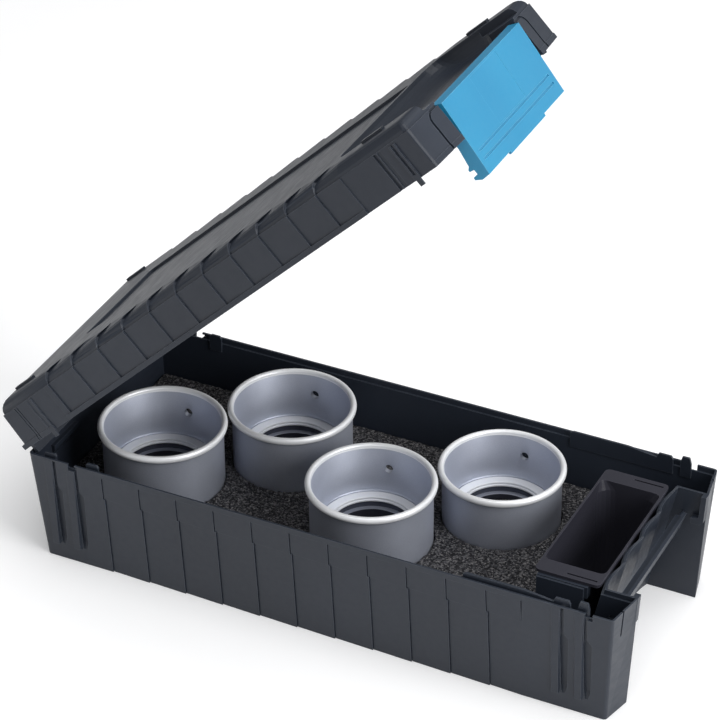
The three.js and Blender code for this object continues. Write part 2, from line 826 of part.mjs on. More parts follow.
// A solid between two matching closed sections in space
function sweep(first, second, flip) {
  const count = first.length;
  const faces = THREE.ShapeUtils.triangulateShape(
    first.map(([, y, z]) => new THREE.Vector2(Math.abs(y), z)), [],
  );
  const index = [];
  const put = (a, b, c) => index.push(...(flip ? [a, c, b] : [a, b, c]));
  faces.forEach(([a, b, c]) => put(a, c, b));
  faces.forEach(([a, b, c]) => put(a + count, b + count, c + count));
  for (let i = 0; i < count; i += 1) {
    const j = (i + 1) % count;
    put(i, j, j + count);
    put(i, j + count, i + count);
  }
  const geometry = new THREE.BufferGeometry();
  geometry.setAttribute('position', new THREE.Float32BufferAttribute([...first, ...second].flat(), 3));
  geometry.setIndex(index);
  return toSolid(geometry);
}

// Palm recess, moved out by an amount: a bowl with a steep hinge side, whose
// floor runs out between the columns. Their inner parts stand a little higher.
function palmRecess(grow) {
  const low = palmFloor - grow;
  const top = lidTop + over;
  const end = caseLength / 2 + endBulge + over;
  const last = alongX(palmEnd) + grow;
  const outline = (inset) => {
    const half = palmHalfWidth + grow - palmSideSweep * inset;
    const start = alongX(palmStart) - grow + palmSweep * inset;
    return roundedRectangle(start, last, -half, half, palmCorner + grow, 6);
  };
  const sweepSteps = 7;
  const bowl = Array.from({ length: sweepSteps + 1 }, (_, i) => {
    const angle = (90 * (sweepSteps - i)) / sweepSteps * degrees;
    return { z: lidTop - (lidTop - low) * Math.sin(angle), points: outline(1 - Math.cos(angle)) };
  });
  const mouth = last - palmCorner - grow;
  const half = palmHalfWidth + grow;
  return join(
    loft([...bowl, { z: top, points: outline(0) }]),
    box(mouth, end, -columnGap - grow, columnGap + grow, low, top),
    box(mouth, end, -half, half, columnTop - grow, top),
  );
}

// Groove in a column's end face that runs up beside the latch and turns in over it
function columnGroove() {
  const centreY = columnGroovePlace - columnGrooveCorner;
  const centreZ = columnTop - 2 * columnGrooveWidth - columnGrooveCorner;
  const steps = 5;
  const arc = (radius) => Array.from({ length: steps + 1 }, (_, i) => {
    const angle = (90 * i) / steps * degrees;
    return [centreY + radius * Math.cos(angle), centreZ + radius * Math.sin(angle)];
  });
  const far = arc(columnGrooveCorner + columnGrooveWidth);
  const near = arc(columnGrooveCorner);
  const open = columnGap - over;
  const outline = [
    [far[0][0], -over], ...far, [open, far[steps][1]],
    [open, near[steps][1]], ...near.toReversed(), [columnGroovePlace, -over],
  ];
  const geometry = new THREE.ExtrudeGeometry(
    new THREE.Shape(outline.map(([y, z]) => new THREE.Vector2(y, z))),
    { depth: columnGrooveDepth + 2 * over, bevelEnabled: false },
  );
  // Laid along the end face, which slants out towards the latch
  const slant = endBulge / (caseWidth / 2 - columnGap);
  const start = caseLength / 2 - flangeStep - columnGrooveDepth;
  geometry.applyMatrix4(new THREE.Matrix4().set(
    -slant, 0, 1, start + slant * (caseWidth / 2),
    1, 0, 0, 0,
    0, 1, 0, 0,
    0, 0, 0, 1,
  ));
  return toSolid(geometry);
}

function makeLid() {
  const outer = join(
    loft([
      { z: 0, points: lidOutline(0, lidFlangeInset, 0) },
      { z: flangeHeight, points: lidOutline(0, lidFlangeInset, 0) },
    ]),
    loft([
      { z: flangeHeight - 0.2, points: lidOutline(flangeStep, lidHingeInset, 0) },
      { z: creaseHeight, points: lidOutline(flangeStep, lidHingeInset + 1.8, 0) },
    ]),
    loft(shoulder.map(([inset, z], i) => ({
      z: i === 0 ? z - 0.2 : z,
      points: lidOutline(inset, lidHingeInset + 1.2 + inset, 0),
    }))),
  );
  const cavityTop = lidTop - fieldDepth - lidWall;
  const cavity = loft([
    { z: -over, points: lidOutline(0, lidHingeInset, lidWall) },
    { z: creaseHeight - 3, points: lidOutline(flangeStep, lidHingeInset + 1.8, lidWall) },
    { z: cavityTop, points: lidOutline(6.5, lidHingeInset + 7, lidWall) },
  ]);
  const field = straight(
    roundedRectangle(alongX(fieldStart), alongX(fieldEnd), -fieldHalfWidth, fieldHalfWidth,
      fieldCorner),
    lidTop - fieldDepth, lidTop + over,
  );
  const plainStart = panelsEnd + fit;
  const sideFace = (u) => (
    caseWidth / 2 - flangeStep - (u > plainStart ? endSetBack : 0)
  );

  let shell = cut(outer, cavity);
  // The hinge wall runs on below the rim, inside the base's wall
  const flapHalf = caseWidth / 2 - hingeFlapMargin;
  const flap = box(
    alongX(lidHingeInset), alongX(lidHingeInset + lidWall),
    -flapHalf, flapHalf, -hingeFlapDrop, flangeHeight,
  );
  shell = join(shell, flap, outer.intersect(palmRecess(lidWall)));
  shell = cut(
    shell, palmRecess(0), field,
    ...bothSides((side) => panelSpans.map((span) => lidPanelCut(side, span))).flat(),
    // The plain stretch beside the latch is set back down to the rim
    ...bothSides((side) => sideBox(
      side, alongX(plainStart), caseLength / 2 + endBulge + over,
      sideFace(caseLength), caseWidth / 2 + over, -over, creaseHeight + 0.05,
    )),
    ...bothSides((side) => lidGrooves.map(({ span: [start, end], depth }) => sideBox(
      side, alongX(start), alongX(end), sideFace(start) - depth, caseWidth / 2 + over,
      -over, creaseHeight - lidGrooveMargin,
    ))).flat(),
    columnGroove(), columnGroove().mirror([0, 1, 0]),
    // Room for the base's knuckles
    ...hingeCentres.map(baseKnuckle).map(([y0, y1]) => (
      bar(knuckleRadius + hingeCutGap, hingeX, -hingeDown - rimGap, y0 - hingeSideGap, y1 + hingeSideGap)
    )),
  );

  const ears = hingeCentres.flatMap(lidKnuckles).map(([y0, y1]) => join(
    bar(knuckleRadius, hingeX, -hingeDown - rimGap, y0, y1),
    slab([
      [hingeX - knuckleRadius, -hingeDown - rimGap],
      [hingeX + hingeOut + 0.6, -hingeDown - rimGap + knuckleRadius * 0.6],
      [hingeX + hingeOut + lidHingeInset + 1, 2], [hingeX + hingeOut + lidHingeInset + 1.5, 14],
      [hingeX - knuckleRadius, 5],
    ], y0, y1),
  ));
  const lugs = bothSides((side) => lugPlaces.map((place) => sideBox(
    side, alongX(place) - lugLength / 2, alongX(place) + lugLength / 2,
    lugSpread - lugWidth / 2, lugSpread + lugWidth / 2, lidTop - 2, lidTop + lugHeight,
  ))).flat();
  // Two ridges run down the side to each peg, which drops into a notch in the base
  const crest = caseWidth / 2 - ridgeShy;
  const root = (place) => sideFace(place) - fit;
  const pegs = bothSides((side) => pegPlaces.flatMap((place) => [
    sideBox(side, alongX(place) - ridgeOuter, alongX(place) - ridgeInner,
      root(place), crest, 0, creaseHeight - ridgeMargin),
    sideBox(side, alongX(place) + ridgeInner, alongX(place) + ridgeOuter,
      root(place), crest, 0, creaseHeight - ridgeMargin),
    sideBox(side, alongX(place) - pegWidth / 2, alongX(place) + pegWidth / 2,
      root(place), crest, 0, flangeHeight),
    sideBox(side, alongX(place) - pegWidth / 2, alongX(place) + pegWidth / 2,
      crest - pegThickness, crest, -pegDrop, over),
  ])).flat();
  shell = join(shell, ...ears, ...lugs, ...pegs);

  const pivot = latchPivot();
  const inward = columnGap + latchPinLength - 3;
  return cut(
    shell,
    ...hingeCentres.map((y) => bar(
      hingePinRadius + fit, hingeX, -hingeDown - rimGap, y - 2 * knuckleLength, y + 2 * knuckleLength,
    )),
    bar(latchPinRadius + fit, pivot.x, pivot.z, -inward, inward, 16),
  );
}

function latchPivot() {
  return { x: caseLength / 2 - latchPivotIn, z: latchPivotUp };
}

// Foam pad inside the lid, which holds the punches down
function makeLidPad() {
  const top = lidTop - fieldDepth - lidWall - fit;
  const points = roundedRectangle(
    alongX(lidPadMargin), alongX(palmStart - lidPadMargin / 2),
    -caseWidth / 2 + lidPadMargin, caseWidth / 2 - lidPadMargin, lidPadCorner, 3,
  );
  return straight(points, top - lidPadThickness, top);
}

// --------------------------------------------------------------------- latch

// Described at rest beside the closed lid, in the lid's own axes
function makeLatch() {
  const end = caseLength / 2;
  const face = (z) => {
    const share = (z - latchBottom) / (latchTop - latchBottom);
    return end + latchFaceBottom + (latchFaceTop - latchFaceBottom) * share;
  };
  const skin = slab([
    [face(latchBottom) - latchSkin, latchBottom], [face(latchBottom), latchBottom],
    [face(latchTop), latchTop], [face(latchTop) - latchTopDepth, latchTop + latchTopRise],
    [face(latchTop) - latchTopDepth, latchTop + latchTopRise - latchSkin],
    [face(latchTop) - latchSkin, latchTop - latchSkin],
  ], -latchHalfWidth, latchHalfWidth);
  const pivot = latchPivot();
  const flangeShape = [
    [face(latchBottom) - 1, latchBottom], [face(latchTop) - 1, latchTop - 0.5],
    [pivot.x - 2.5, latchTop + 0.6], [pivot.x - 4.4, latchPivotUp],
    [end - 5.6, latchPivotUp - 10], [end - 5.2, -3], [end - 7.4, -14],
    [end - 9.2, -15.6], [end - 9.2, -16.8], [end - 6, -17.2],
    [end - 6, -20.2], [end - 9.6, -20.6], [end - 9.8, -22.2], [end - 5.6, -24.2],
  ];
  const flanges = bothSides((side) => join(
    slab(flangeShape, ...mirrored(side, latchHalfWidth - latchFlange, latchHalfWidth)),
    bar(latchBossRadius, pivot.x, pivot.z,
      ...mirrored(side, latchHalfWidth - 2 * latchFlange, latchHalfWidth)),
  ));
  const tab = slab([
    [face(latchBottom) - latchSkin, latchBottom - latchTabDrop],
    [face(latchBottom) - 0.4, latchBottom - latchTabDrop],
    [face(latchBottom), latchBottom + 0.2], [face(latchBottom) - latchSkin, latchBottom + 0.2],
  ], -latchTabHalfWidth, latchTabHalfWidth);
  const grooves = latchGrooveUps.map((z) => slab([
    [face(z) - latchGrooveDepth, z - latchGrooveWidth / 2], [face(z) + over, z - latchGrooveWidth],
    [face(z) + over, z + latchGrooveWidth], [face(z) - latchGrooveDepth, z + latchGrooveWidth / 2],
  ], -latchHalfWidth + latchGrooveMargin, latchHalfWidth - latchGrooveMargin));
  const whole = join(skin, ...flanges, tab);
  const [fieldLow, fieldHigh] = latchFieldSpan;
  const field = slab([
    [face(fieldLow) - latchFieldDepth, fieldLow], [face(fieldLow) + over, fieldLow],
    [face(fieldHigh) + over, fieldHigh], [face(fieldHigh) - latchFieldDepth, fieldHigh],
  ], -latchFieldHalfWidth, latchFieldHalfWidth);
  return cut(
    whole, ...grooves, field,
    bar(latchPinRadius + fit, pivot.x, pivot.z, -latchHalfWidth - over, latchHalfWidth + over, 16),
  );
}

// ------------------------------------------------------------------ assembly

const finish = {
  shell: { color: 0x3f4349, roughness: 0.5, metalness: 0 },
  foam: { color: 0x1c1c1e, roughness: 0.95, metalness: 0 },
  tray: { color: 0x2a2c33, roughness: 0.4, metalness: 0 },
  latch: { color: 0x3d9cc9, roughness: 0.4, metalness: 0 },
  aluminium: { color: 0xa9b0ba, roughness: 0.42, metalness: 0.9 },
  turnedSteel: { color: 0xc9ccd2, roughness: 0.25, metalness: 0.95 },
  pin: { color: 0x8f9296, roughness: 0.35, metalness: 0.9 },
};

function named(name, solid, look) {
  const mesh = new THREE.Mesh(toGeometry(solid), new THREE.MeshStandardMaterial(finish[look]));
  mesh.name = name;
  return mesh;
}

const kit = new THREE.Group();
kit.add(named('base_shell', makeBase(), 'shell'));
kit.add(named('catch_bar', makeCatchBar(), 'shell'));
kit.add(named('foam_base', makeFoamBase(), 'foam'));
kit.add(named('foam_insert', makeFoam(), 'foam'));
kit.add(named('accessory_tray', makeTray(), 'tray'));

for (const punch of punches) {
  const place = new THREE.Group();
  place.position.set(alongX(punch.u), acrossY(punch.v), foamTop - pocketDepth + fit);
  place.add(named(punch.name, makePunch(punch), 'aluminium'));
  place.add(named(punch.name.replace('punch', 'hub_ring'), makeHub(punch), 'turnedSteel'));
  kit.add(place);
}

const hingePinHalf = 1.5 * knuckleLength;
hingeCentres.forEach((y, i) => kit.add(named(
  i === 0 ? 'hinge_pin_front' : 'hinge_pin_back',
  bar(hingePinRadius, hingeX, hingeZ, y - hingePinHalf, y + hingePinHalf, 16), 'pin',
)));

// The lid group turns about the hinge axis; its pieces keep their closed places
const lidGroup = new THREE.Group();
lidGroup.position.set(hingeX, 0, hingeZ);
lidGroup.rotation.y = -lidOpenAngle * degrees;
const lidFrame = new THREE.Group();
lidFrame.position.set(-hingeX, 0, hingeDown + rimGap);
lidFrame.add(named('lid_shell', makeLid(), 'shell'));
lidFrame.add(named('lid_foam_pad', makeLidPad(), 'foam'));
lidFrame.add(named('latch', makeLatch(), 'latch'));
const pinInner = latchHalfWidth - latchFlange - 1;
for (const [name, side] of [['latch_pin_front', -1], ['latch_pin_back', 1]]) {
  const pivot = latchPivot();
  const span = mirrored(side, pinInner, pinInner + latchPinLength);
  lidFrame.add(named(name, bar(latchPinRadius, pivot.x, pivot.z, ...span, 16), 'pin'));
}
lidGroup.add(lidFrame);
kit.add(lidGroup);

export default kit;
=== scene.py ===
"""A drive-punch kit: a charcoal moulded case with a blue latch, and four ring punches in foam.

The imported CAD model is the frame. This script finishes its moulded pieces, and stands
smooth turned punches, hub rings and real foam in the places of the plain CAD ones.
"""

import math

import bmesh
import bpy
from mathutils import Matrix, Vector, noise


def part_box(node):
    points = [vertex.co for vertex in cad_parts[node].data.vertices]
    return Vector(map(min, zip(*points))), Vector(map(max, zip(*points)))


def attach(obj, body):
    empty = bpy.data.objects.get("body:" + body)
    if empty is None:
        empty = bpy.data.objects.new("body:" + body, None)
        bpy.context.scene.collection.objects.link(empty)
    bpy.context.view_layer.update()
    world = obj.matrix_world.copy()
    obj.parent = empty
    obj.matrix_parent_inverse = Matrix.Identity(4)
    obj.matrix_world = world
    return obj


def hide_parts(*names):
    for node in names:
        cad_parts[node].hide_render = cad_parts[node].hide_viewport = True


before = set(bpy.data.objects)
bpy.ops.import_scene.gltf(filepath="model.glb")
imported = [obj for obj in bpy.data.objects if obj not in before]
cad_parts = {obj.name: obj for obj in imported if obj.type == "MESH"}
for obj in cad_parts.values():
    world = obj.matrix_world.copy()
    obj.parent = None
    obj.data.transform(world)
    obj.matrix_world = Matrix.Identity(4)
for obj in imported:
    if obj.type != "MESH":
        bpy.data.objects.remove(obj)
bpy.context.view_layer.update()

MM = 0.001
PUNCH_PLACES = ("front_left", "back_left", "front_right", "back_right")


# ------------------------------------------------------------------ the camera

CAMERA_AZIMUTH = math.radians(26.44)
CAMERA_ELEVATION = math.radians(33.67)
CAMERA_ROLL = math.radians(-0.54)
CAMERA_DISTANCE = 2.154
CAMERA_TARGET = Vector((-0.0806, 0.1476, 0.040))
CAMERA_LENS = 164.9
SENSOR_WIDTH = 36.0
CAMERA_REACH = 20


def add_camera():
    sin_a, cos_a = math.sin(CAMERA_AZIMUTH), math.cos(CAMERA_AZIMUTH)
    sin_e, cos_e = math.sin(CAMERA_ELEVATION), math.cos(CAMERA_ELEVATION)
    back = Vector((sin_a * cos_e, -cos_a * cos_e, sin_e))
    flat_right = Vector((cos_a, sin_a, 0))
    flat_up = back.cross(flat_right)
    right = flat_right * math.cos(CAMERA_ROLL) + flat_up * math.sin(CAMERA_ROLL)
    up = flat_up * math.cos(CAMERA_ROLL) - flat_right * math.sin(CAMERA_ROLL)
    data = bpy.data.cameras.new("camera")
    data.lens = CAMERA_LENS
    data.sensor_width = SENSOR_WIDTH
    data.clip_end = CAMERA_REACH
    camera = bpy.data.objects.new("camera", data)
    turn = Matrix((right, up, back)).transposed().to_4x4()
    camera.matrix_world = Matrix.Translation(CAMERA_TARGET + back * CAMERA_DISTANCE) @ turn
    bpy.context.scene.collection.objects.link(camera)
    bpy.context.scene.camera = camera


# ------------------------------------------------------- small material tools

class Shader:
    """A material's node tree, with short calls for the nodes that it uses."""

    def __init__(self, name):
        self.material = bpy.data.materials.new(name)
        self.material.use_nodes = True
        self.tree = self.material.node_tree
        self.shader = self.tree.nodes["Principled BSDF"]
        self.where = self.node("ShaderNodeTexCoord").outputs["Object"]

    def node(self, kind, **settings):
        made = self.tree.nodes.new(kind)
        for key, value in settings.items():
            setattr(made, key, value)
        return made

    def link(self, source, target):
        self.tree.links.new(source, target)

    def feed(self, socket, value):
        if isinstance(value, bpy.types.NodeSocket):
            self.link(value, socket)
        else:
            socket.default_value = value

    def set(self, **values):
        for key, value in values.items():
            self.feed(self.shader.inputs[key.replace("_", " ")], value)

    def stretch(self, scale):
        mapping = self.node("ShaderNodeMapping")
        mapping.inputs["Scale"].default_value = scale
        self.link(self.where, mapping.inputs["Vector"])
        return mapping.outputs["Vector"]

    def noise(self, scale, detail=3.0, roughness=0.5, vector=None):
        made = self.node("ShaderNodeTexNoise")
        made.inputs["Scale"].default_value = scale
        made.inputs["Detail"].default_value = detail
        made.inputs["Roughness"].default_value = roughness
        self.link(vector or self.where, made.inputs["Vector"])
        return made.outputs["Fac"]

    def cells(self, scale, output="Distance"):
        made = self.node("ShaderNodeTexVoronoi")
        made.inputs["Scale"].default_value = scale
        self.link(self.where, made.inputs["Vector"])
        return made.outputs[output]

    def red(self, colour):
        split = self.node("ShaderNodeSeparateColor")
        self.link(colour, split.inputs["Color"])
        return split.outputs["Red"]

    def remap(self, value, low, high, to_low, to_high):
        made = self.node("ShaderNodeMapRange", clamp=True)
        span = {"From Min": low, "From Max": high, "To Min": to_low, "To Max": to_high}
        for name, number in span.items():
            made.inputs[name].default_value = number
        self.link(value, made.inputs["Value"])
        return made.outputs["Result"]

    def math(self, operation, a, b):
        made = self.node("ShaderNodeMath", operation=operation)
        self.feed(made.inputs[0], a)
        self.feed(made.inputs[1], b)
        return made.outputs["Value"]

    def blend(self, factor, first, second):
        made = self.node("ShaderNodeMix", data_type="RGBA")
        self.feed(made.inputs["Factor"], factor)
        self.feed(made.inputs["A"], first if not isinstance(first, tuple) else (*first, 1))
        self.feed(made.inputs["B"], second if not isinstance(second, tuple) else (*second, 1))
        return made.outputs["Result"]

    def bump(self, height, strength, distance, before=None):
        made = self.node("ShaderNodeBump")
        made.inputs["Strength"].default_value = strength
        made.inputs["Distance"].default_value = distance
        self.link(height, made.inputs["Height"])
        if before is not None:
            self.link(before, made.inputs["Normal"])
        return made.outputs["Normal"]

    def edges(self, radius):
        """1 along outer edges and 0 on flats, from how far the bevelled normal turns."""
        bevel = self.node("ShaderNodeBevel", samples=6)
        bevel.inputs["Radius"].default_value = radius
        geometry = self.node("ShaderNodeNewGeometry")
        turn = self.node("ShaderNodeVectorMath", operation="DOT_PRODUCT")
        self.link(bevel.outputs["Normal"], turn.inputs[0])
        self.link(geometry.outputs["True Normal"], turn.inputs[1])
        return self.remap(turn.outputs["Value"], EDGE_TURNED, EDGE_FLAT, 1.0, 0.0)


# ------------------------------------------------------------- the materials

CASE_COLOUR = (0.018, 0.023, 0.034)
CASE_LIGHT = (0.022, 0.028, 0.041)
# Lighter along the edges: rubbed wear and a painted edge highlight.
CASE_EDGE_WEAR_AND_HIGHLIGHT = (0.11, 0.125, 0.15)
TRAY_COLOUR = (0.029, 0.029, 0.039)
# Lighter along the edges: rubbed wear and a painted edge highlight.
TRAY_EDGE_WEAR_AND_HIGHLIGHT = (0.12, 0.12, 0.15)
LATCH_COLOUR = (0.016, 0.235, 0.420)
LATCH_DEEP = (0.012, 0.210, 0.390)
# Lighter along the edges: a painted edge highlight and rubbed wear.
LATCH_EDGE_WEAR_AND_HIGHLIGHT = (0.12, 0.42, 0.62)
FOAM_DARK = (0.012, 0.012, 0.014)
FOAM_MID = (0.085, 0.085, 0.093)
FOAM_FLECK = (0.24, 0.23, 0.225)
ALUMINIUM = (0.46, 0.49, 0.58)
ALUMINIUM_LIGHT = (0.52, 0.555, 0.65)
ALUMINIUM_EDGE = (0.85, 0.86, 0.88)
TURNED = (0.90, 0.91, 0.93)
STEEL = (0.46, 0.47, 0.49)
# Painted shade for the bore's wall.
BORE_PAINTED_SHADE = (0.09, 0.095, 0.12)
POLISHED = "polished"
SHADED = "shaded"

# The cosines at which an edge counts as fully turned and as flat, and the widths of its wear and
# painted highlight.
EDGE_TURNED = 0.72
EDGE_FLAT = 0.985
CASE_WEAR_AND_HIGHLIGHT_RADIUS = 0.0006
LATCH_WEAR_AND_HIGHLIGHT_RADIUS = 0.0007
CASE_SPECULAR = 0.38
FOAM_SPECULAR = 0.2
RIM_METALLIC = 0.3
SIDE_METALLIC = 0.75


def moulded_plastic(name, base, light, edge, smoothest, roughest):
    """Satin moulded plastic: a fine spark-eroded grain, slight flow marks, and edges lightened for
    rubbed wear and a painted edge highlight.
    """
    s = Shader(name)
    flow = s.noise(9.0, 2.0, 0.5, s.stretch((1.0, 2.2, 1.0)))
    body = s.blend(s.remap(flow, 0.35, 0.65, 0.0, 1.0), base, light)
    edge_wear_and_highlight = s.remap(s.noise(120.0), 0.3, 0.7, 0.3, 0.9)
    # Edges are lightened partly for rubbed wear and partly as a painted edge highlight.
    rubbed_and_highlit = s.math("MULTIPLY", s.edges(CASE_WEAR_AND_HIGHLIGHT_RADIUS), edge_wear_and_highlight)
    s.set(Base_Color=s.blend(rubbed_and_highlit, body, edge))
    scuffs = s.noise(260.0, 4.0, 0.6, s.stretch((1.0, 0.25, 1.0)))
    s.set(Roughness=s.remap(scuffs, 0.35, 0.7, smoothest, roughest))
    s.set(Specular_IOR_Level=CASE_SPECULAR)
    grain = s.noise(2600.0, 2.0, 0.6)
    ripple = s.noise(45.0, 1.0, 0.4)
    s.set(Normal=s.bump(grain, 0.22, 0.00008, s.bump(ripple, 0.08, 0.0004)))
    return s.material


def latch_plastic():
    s = Shader("latch_plastic")
    flow = s.noise(14.0, 2.0)
    body = s.blend(s.remap(flow, 0.35, 0.65, 0.0, 1.0), LATCH_COLOUR, LATCH_DEEP)
    # The edges are lightened as a painted edge highlight and for rubbed wear.
    s.set(Base_Color=s.blend(s.edges(LATCH_WEAR_AND_HIGHLIGHT_RADIUS), body, LATCH_EDGE_WEAR_AND_HIGHLIGHT))
    s.set(Roughness=s.remap(s.noise(300.0, 3.0), 0.3, 0.7, 0.36, 0.46))
    s.set(Normal=s.bump(s.noise(2400.0, 2.0), 0.15, 0.00006))
    return s.material


def foam_material():
    """Bonded crumb foam: near-black crumbs of uneven size, with some pale grey and tan ones."""
    s = Shader("foam")
    crumb = s.red(s.cells(1050.0, "Color"))
    fine = s.red(s.cells(1900.0, "Color"))
    body = s.blend(s.remap(crumb, 0.25, 0.9, 0.0, 1.0), FOAM_DARK, FOAM_MID)
    pale = s.remap(crumb, 0.62, 0.98, 0.0, 1.0)
    fleck = s.math("MULTIPLY", pale, s.remap(fine, 0.3, 0.9, 0.1, 1.0))
    s.set(Base_Color=s.blend(fleck, body, FOAM_FLECK))
    pits = s.cells(1100.0)
    s.set(Roughness=s.remap(pits, 0.0, 0.6, 0.98, 0.82), Specular_IOR_Level=FOAM_SPECULAR)
    s.set(Normal=s.bump(pits, 0.8, 0.0006))
    return s.material


def blasted_aluminium():
    """Bead-blasted and anodised: a fine grain, faint clouds, a bright turned rim and painted shade
    in the bore.
    """
    s = Shader("punch_aluminium")
    blast = s.noise(1900.0, 2.0, 0.7)
    cloud = s.noise(30.0, 3.0)
    base = s.blend(s.remap(cloud, 0.3, 0.7, 0.0, 1.0), ALUMINIUM, ALUMINIUM_LIGHT)
    base = s.blend(s.remap(blast, 0.35, 0.75, 0.0, 0.25), base, ALUMINIUM_EDGE)
    polished = s.node("ShaderNodeAttribute", attribute_name=POLISHED).outputs["Fac"]
    shaded = s.node("ShaderNodeAttribute", attribute_name=SHADED).outputs["Fac"]
    base = s.blend(polished, base, TURNED)
    # The bore, apart from its ledge, is darkened with painted shade.
    s.set(Base_Color=s.blend(shaded, base, BORE_PAINTED_SHADE))
    s.set(Metallic=s.remap(polished, 0.0, 1.0, SIDE_METALLIC, RIM_METALLIC))
    rough = s.remap(blast, 0.3, 0.7, 0.46, 0.58)
    s.set(Roughness=s.math("SUBTRACT", rough, s.math("MULTIPLY", polished, 0.1)))
    s.set(Normal=s.bump(blast, 0.3, 0.00008))
    return s.material


def turned_aluminium():
    """A bright turned face: fine rings about the hub's own axis."""
    s = Shader("turned_ring")
    middle = s.node("ShaderNodeVectorMath", operation="LENGTH")
    flat = s.stretch((1.0, 1.0, 0.0))
    s.link(flat, middle.inputs[0])
    along = s.node("ShaderNodeCombineXYZ")
    s.link(middle.outputs["Value"], along.inputs["X"])
    rings = s.noise(2600.0, 2.0, 0.5, along.outputs["Vector"])
    s.set(Base_Color=s.blend(s.remap(rings, 0.3, 0.7, 0.0, 0.3), TURNED, ALUMINIUM_LIGHT))
    s.set(Metallic=0.15, Roughness=s.remap(rings, 0.3, 0.7, 0.38, 0.52))
    s.set(Normal=s.bump(rings, 0.25, 0.00006))
    return s.material


def drawn_steel():
    s = Shader("pin_steel")
    lines = s.noise(900.0, 2.0, 0.5, s.stretch((1.0, 0.05, 1.0)))
    s.set(Base_Color=s.blend(s.remap(lines, 0.3, 0.7, 0.0, 0.4), STEEL, ALUMINIUM_LIGHT))
    s.set(Metallic=0.95, Roughness=s.remap(lines, 0.3, 0.7, 0.25, 0.4))
    s.set(Normal=s.bump(lines, 0.2, 0.00005))
    return s.material


case_plastic = moulded_plastic("case_plastic", CASE_COLOUR, CASE_LIGHT, CASE_EDGE_WEAR_AND_HIGHLIGHT, 0.42, 0.52)
tray_plastic = moulded_plastic("tray_plastic", TRAY_COLOUR, TRAY_COLOUR, TRAY_EDGE_WEAR_AND_HIGHLIGHT, 0.30, 0.38)
latch_blue = latch_plastic()
foam_look = foam_material()
aluminium_look = blasted_aluminium()
turned_look = turned_aluminium()
steel_look = drawn_steel()


# ------------------------------------------------------- the CAD model's nodes

CASE_EDGE_RADIUS = 0.00035
PIN_EDGE_RADIUS = 0.0003
WELD_DISTANCE = 0.000002
FLAT_ANGLE = math.radians(0.6)
EDGE_ANGLE = math.radians(30)


def dress(node, material, edge=0.0):
    """A CAD node gets its material, and its sharp edges get a small moulded radius."""
    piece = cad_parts[node]
    piece.data.materials.clear()
    piece.data.materials.append(material)
    if edge > 0:
        weld = piece.modifiers.new("weld", "WELD")
        weld.merge_threshold = WELD_DISTANCE
        flat = piece.modifiers.new("flat", "DECIMATE")
        flat.decimate_type = "DISSOLVE"
        flat.angle_limit = FLAT_ANGLE
        bevel = piece.modifiers.new("bevel", "BEVEL")
        bevel.width = edge
        bevel.segments = 2
        bevel.limit_method = "ANGLE"
        bevel.angle_limit = EDGE_ANGLE
        bevel.use_clamp_overlap = True
        bevel.harden_normals = True


for node in ("base_shell", "catch_bar", "lid_shell"):
    dress(node, case_plastic, CASE_EDGE_RADIUS)
dress("accessory_tray", tray_plastic)
dress("latch", latch_blue, CASE_EDGE_RADIUS)
for end in ("front", "back"):
    dress(f"hinge_pin_{end}", steel_look, PIN_EDGE_RADIUS)
    dress(f"latch_pin_{end}", steel_look, PIN_EDGE_RADIUS)


# ---------------------------------------------------------- the turned pieces

TURN_STEPS = 128
SHARP = math.radians(32)


def linked(name, mesh):
    piece = bpy.data.objects.new(name, mesh)
    bpy.context.scene.collection.objects.link(piece)
    return piece


def evaluated(piece):
    """A new mesh: the piece's own with its modifiers applied."""
    bpy.context.view_layer.update()
    graph = bpy.context.evaluated_depsgraph_get()
    return bpy.data.meshes.new_from_object(piece.evaluated_get(graph))


def new_piece(name, mesh, material, body, slot, *stands_for):
    mesh.materials.append(material)
    piece = linked(name, mesh)
    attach(piece, body)
    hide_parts(*stands_for)
    return piece


def turned_mesh(name, profile, steps=TURN_STEPS):
    """A closed solid turned about Z from a closed profile of (radius, height), in millimetres."""
    mesh = bpy.data.meshes.new(name)
    count = len(profile)
    points = []
    for step in range(steps):
        angle = 2 * math.pi * step / steps
        points += [
            (r * MM * math.cos(angle), r * MM * math.sin(angle), z * MM) for r, z in profile
        ]
    faces = []
    for step in range(steps):
        here, there = step * count, (step + 1) % steps * count
        for i in range(count):
            j = (i + 1) % count
            faces.append((here + i, there + i, there + j, here + j))
    mesh.from_pydata(points, [], faces)
    smooth(mesh)
    return mesh


def smooth(mesh):
    mesh.update()
    mesh.shade_smooth()
    mesh.set_sharp_from_angle(angle=SHARP)


def arc(centre_r, centre_z, radius_r, radius_z, start, end, steps):
    """Points on an elliptical arc of the profile, from start to end degrees."""
    return [
        (centre_r + radius_r * math.cos(math.radians(start + (end - start) * i / steps)),
         centre_z + radius_z * math.sin(math.radians(start + (end - start) * i / steps)))
        for i in range(steps + 1)
    ]


def carved(mesh, cutter):
    """The mesh with the cutter's shape taken out of it."""
    target = linked("carve", mesh)
    tool = linked("cutter", cutter)
    modifier = target.modifiers.new("cut", "BOOLEAN")
    modifier.object = tool
    modifier.operation = "DIFFERENCE"
    modifier.solver = "EXACT"
    made = evaluated(target)
    for o in (target, tool):
        bpy.data.objects.remove(o)
    smooth(made)
    return made


def aimed(mesh, angle, height):
    """Turns a mesh that lies along Z to point outwards at an angle about the axis, at a height."""
    mesh.transform(Matrix.Rotation(math.pi / 2, 4, "Y"))
    mesh.transform(Matrix.Rotation(angle, 4, "Z"))
    mesh.transform(Matrix.Translation((0, 0, height * MM)))
    return mesh


